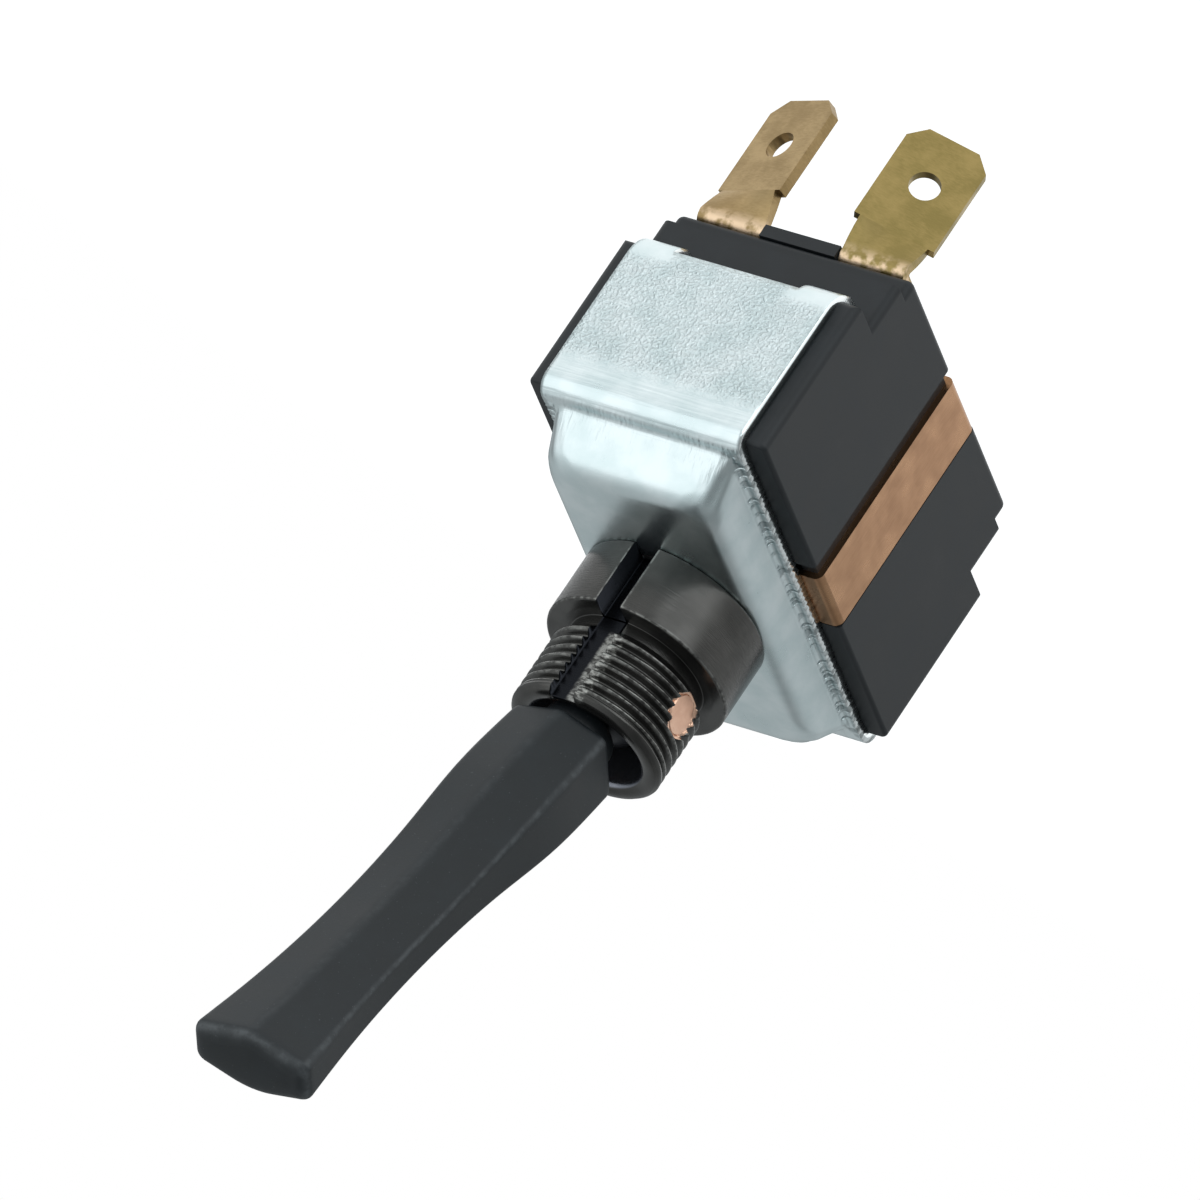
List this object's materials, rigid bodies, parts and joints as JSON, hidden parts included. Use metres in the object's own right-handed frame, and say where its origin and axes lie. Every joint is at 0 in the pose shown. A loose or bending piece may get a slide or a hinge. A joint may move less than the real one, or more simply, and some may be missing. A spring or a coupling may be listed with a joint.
{
  "type": "panel toggle switch",
  "caption": "Panel toggle switch with a long paddle lever, threaded bushing, pressed metal bracket, black moulded body, side strap and push-on blades at the rear.",
  "frame": {"origin": "on the bushing's axis, in the plane of the collar's front face, where the panel rests", "axes": "+Z along the bushing out of the panel towards the lever; -Y the side of the keyway and of the lever's rest position; -X the side of the ground strap"},
  "size_m": [0.0198, 0.034, 0.0873],
  "materials": {
    "housing_plastic": "satin moulded plastic, black",
    "bracket_steel": "zinc plated pressed sheet, bluish silver",
    "bushing_black": "black finish with a warm brown sheen",
    "pin_copper": "bare riveted end, copper coloured",
    "plain_steel": "plain turned steel",
    "lever_plastic": "matt black moulded plastic",
    "plunger_brass": "turned brass",
    "spring_steel": "spring wire",
    "rocker_plastic": "moulded insulating plastic",
    "brass": "stamped brass",
    "contact_silver": "contact silver",
    "blade_brass": "stamped brass, slightly dulled",
    "strap_copper": "dull copper strip",
    "insulator_fibre": "pressed fibre sheet"
  },
  "bodies": {
    "switch_body": {"housing": "housing_plastic", "terminal_base": "housing_plastic", "bracket": "bracket_steel", "bushing": "bushing_black", "pivot_pin": "pin_copper", "rocker_pin": "plain_steel", "fixed_contact_plain_side": "contact_silver", "fixed_contact_strap_side": "contact_silver", "terminal_plain_side": "blade_brass", "terminal_strap_side": "blade_brass", "ground_strap": "strap_copper", "strap_rivet": "strap_copper", "insulator_plate": "insulator_fibre"},
    "lever": {"lever_core": "plain_steel", "lever_paddle": "lever_plastic", "plunger_spring": "spring_steel"},
    "plunger": {"plunger": "plunger_brass"},
    "rocker": {"rocker": "rocker_plastic", "contact_bridge": "brass", "bridge_rivet": "brass", "moving_contact_plain_side": "contact_silver", "moving_contact_strap_side": "contact_silver"}
  },
  "joints": [
    {"name": "lever_hinge", "type": "hinge", "parent": "switch_body", "child": "lever", "pos_m": [0, 0, 0.0026], "axis": [1, 0, 0], "range_deg": [-30, 0]},
    {"name": "rocker_hinge", "type": "hinge", "parent": "switch_body", "child": "rocker", "pos_m": [0, 0, -0.018], "axis": [1, 0, 0], "range_deg": [0, 12]},
    {"name": "plunger_slide", "type": "slide", "parent": "lever", "child": "plunger", "axis": [0, -0.2588, 0.9659], "range_m": [0, 0.0008], "stiffness_N_per_m": 500, "springref_m": -0.002, "deforming": ["plunger_spring"]}
  ],
  "couplings": [
    {"joint": "rocker_hinge", "follows": "lever_hinge", "ratio": -0.4}
  ]
}
